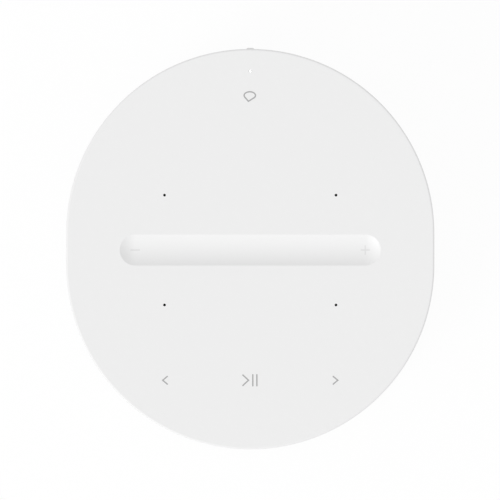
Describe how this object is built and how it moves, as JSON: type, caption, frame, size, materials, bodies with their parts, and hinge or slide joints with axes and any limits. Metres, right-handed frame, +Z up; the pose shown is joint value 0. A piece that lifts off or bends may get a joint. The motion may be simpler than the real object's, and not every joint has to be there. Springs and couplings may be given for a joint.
{
  "type": "smart speaker",
  "caption": "White oval upright smart speaker with a touch top, dished volume trough, wrap-round grille and rear spine.",
  "frame": {"origin": "centre of the footprint, on the surface that the foot stands on", "axes": "+Z up, the front of the speaker faces -Y, and +X is to the right in the picture"},
  "size_m": [0.12, 0.1312, 0.1825],
  "materials": {
    "white_plastic": "fine textured",
    "grille_paint": "matt white powder coat",
    "black_plastic": "moulded",
    "silicone": "matt",
    "clear_plastic": "polished",
    "brass": "turned",
    "steel": "zinc plated",
    "aluminium": "anodised",
    "ferrite": "ground ferrite",
    "board": "solder mask on glass epoxy",
    "rubber": "moulded",
    "paper": "pressed fibre",
    "copper": "drawn wire",
    "silk": "coated weave",
    "grey_plastic": "moulded"
  },
  "bodies": {
    "cabinet": {"amplifier_heatsink": "aluminium", "base_cover": "white_plastic", "base_screws": "steel", "capacitors": "black_plastic", "enclosure_front": "black_plastic", "enclosure_gasket": "rubber", "enclosure_rear": "black_plastic", "foot_ring": "silicone", "grille": "grille_paint", "housing_screws": "steel", "inlet_pins": "brass", "io_board": "board", "io_board_screws": "steel", "light_pipe": "clear_plastic", "main_board": "board", "main_board_screws": "steel", "mains_inlet": "black_plastic", "microphones": "black_plastic", "power_board": "board", "power_board_screws": "steel", "rear_spine": "white_plastic", "ribbon_connector": "grey_plastic", "shield_can": "steel", "slide_switch": "black_plastic", "stand_insert": "brass", "tact_switch": "black_plastic", "top_frame": "black_plastic", "top_panel": "white_plastic", "top_screws": "steel", "touch_board": "board", "touch_ribbon": "grey_plastic", "transformer": "black_plastic", "tweeter_face_left": "black_plastic", "tweeter_face_right": "black_plastic", "tweeter_housing": "black_plastic", "tweeter_motor_left": "steel", "tweeter_motor_right": "steel", "tweeter_screws": "steel", "usb_shell": "steel", "usb_tongue": "black_plastic", "wifi_antennas": "board", "woofer_basket": "steel", "woofer_magnet": "ferrite", "woofer_screws": "steel", "woofer_spider": "silk", "woofer_surround": "rubber", "woofer_top_plate": "steel", "woofer_yoke": "steel"},
    "pairing_button": {"pairing_button": "white_plastic", "tact_plunger": "grey_plastic"},
    "mic_switch": {"mic_switch_knob": "white_plastic", "slide_lever": "grey_plastic"},
    "woofer_cone": {"woofer_cone": "paper", "dust_cap": "paper", "voice_coil": "copper"},
    "tweeter_dome_left": {"tweeter_dome_left": "silk"},
    "tweeter_dome_right": {"tweeter_dome_right": "silk"}
  },
  "joints": [
    {"name": "pairing_button_press", "type": "slide", "parent": "cabinet", "child": "pairing_button", "axis": [0, -1, 0], "range_m": [0, 0.0008], "stiffness_N_per_m": 300},
    {"name": "mic_switch_slide", "type": "slide", "parent": "cabinet", "child": "mic_switch", "axis": [0, 0, -1], "range_m": [0, 0.0025]},
    {"name": "woofer_stroke", "type": "slide", "parent": "cabinet", "child": "woofer_cone", "axis": [0, -1, 0], "range_m": [-0.004, 0.004], "stiffness_N_per_m": 1000, "deforming": ["woofer_surround", "woofer_spider"]},
    {"name": "tweeter_left_stroke", "type": "slide", "parent": "cabinet", "child": "tweeter_dome_left", "axis": [-0.766, -0.6428, 0], "range_m": [-0.0003, 0.0003], "stiffness_N_per_m": 200},
    {"name": "tweeter_right_stroke", "type": "slide", "parent": "cabinet", "child": "tweeter_dome_right", "axis": [0.766, -0.6428, 0], "range_m": [-0.0003, 0.0003], "stiffness_N_per_m": 200}
  ]
}
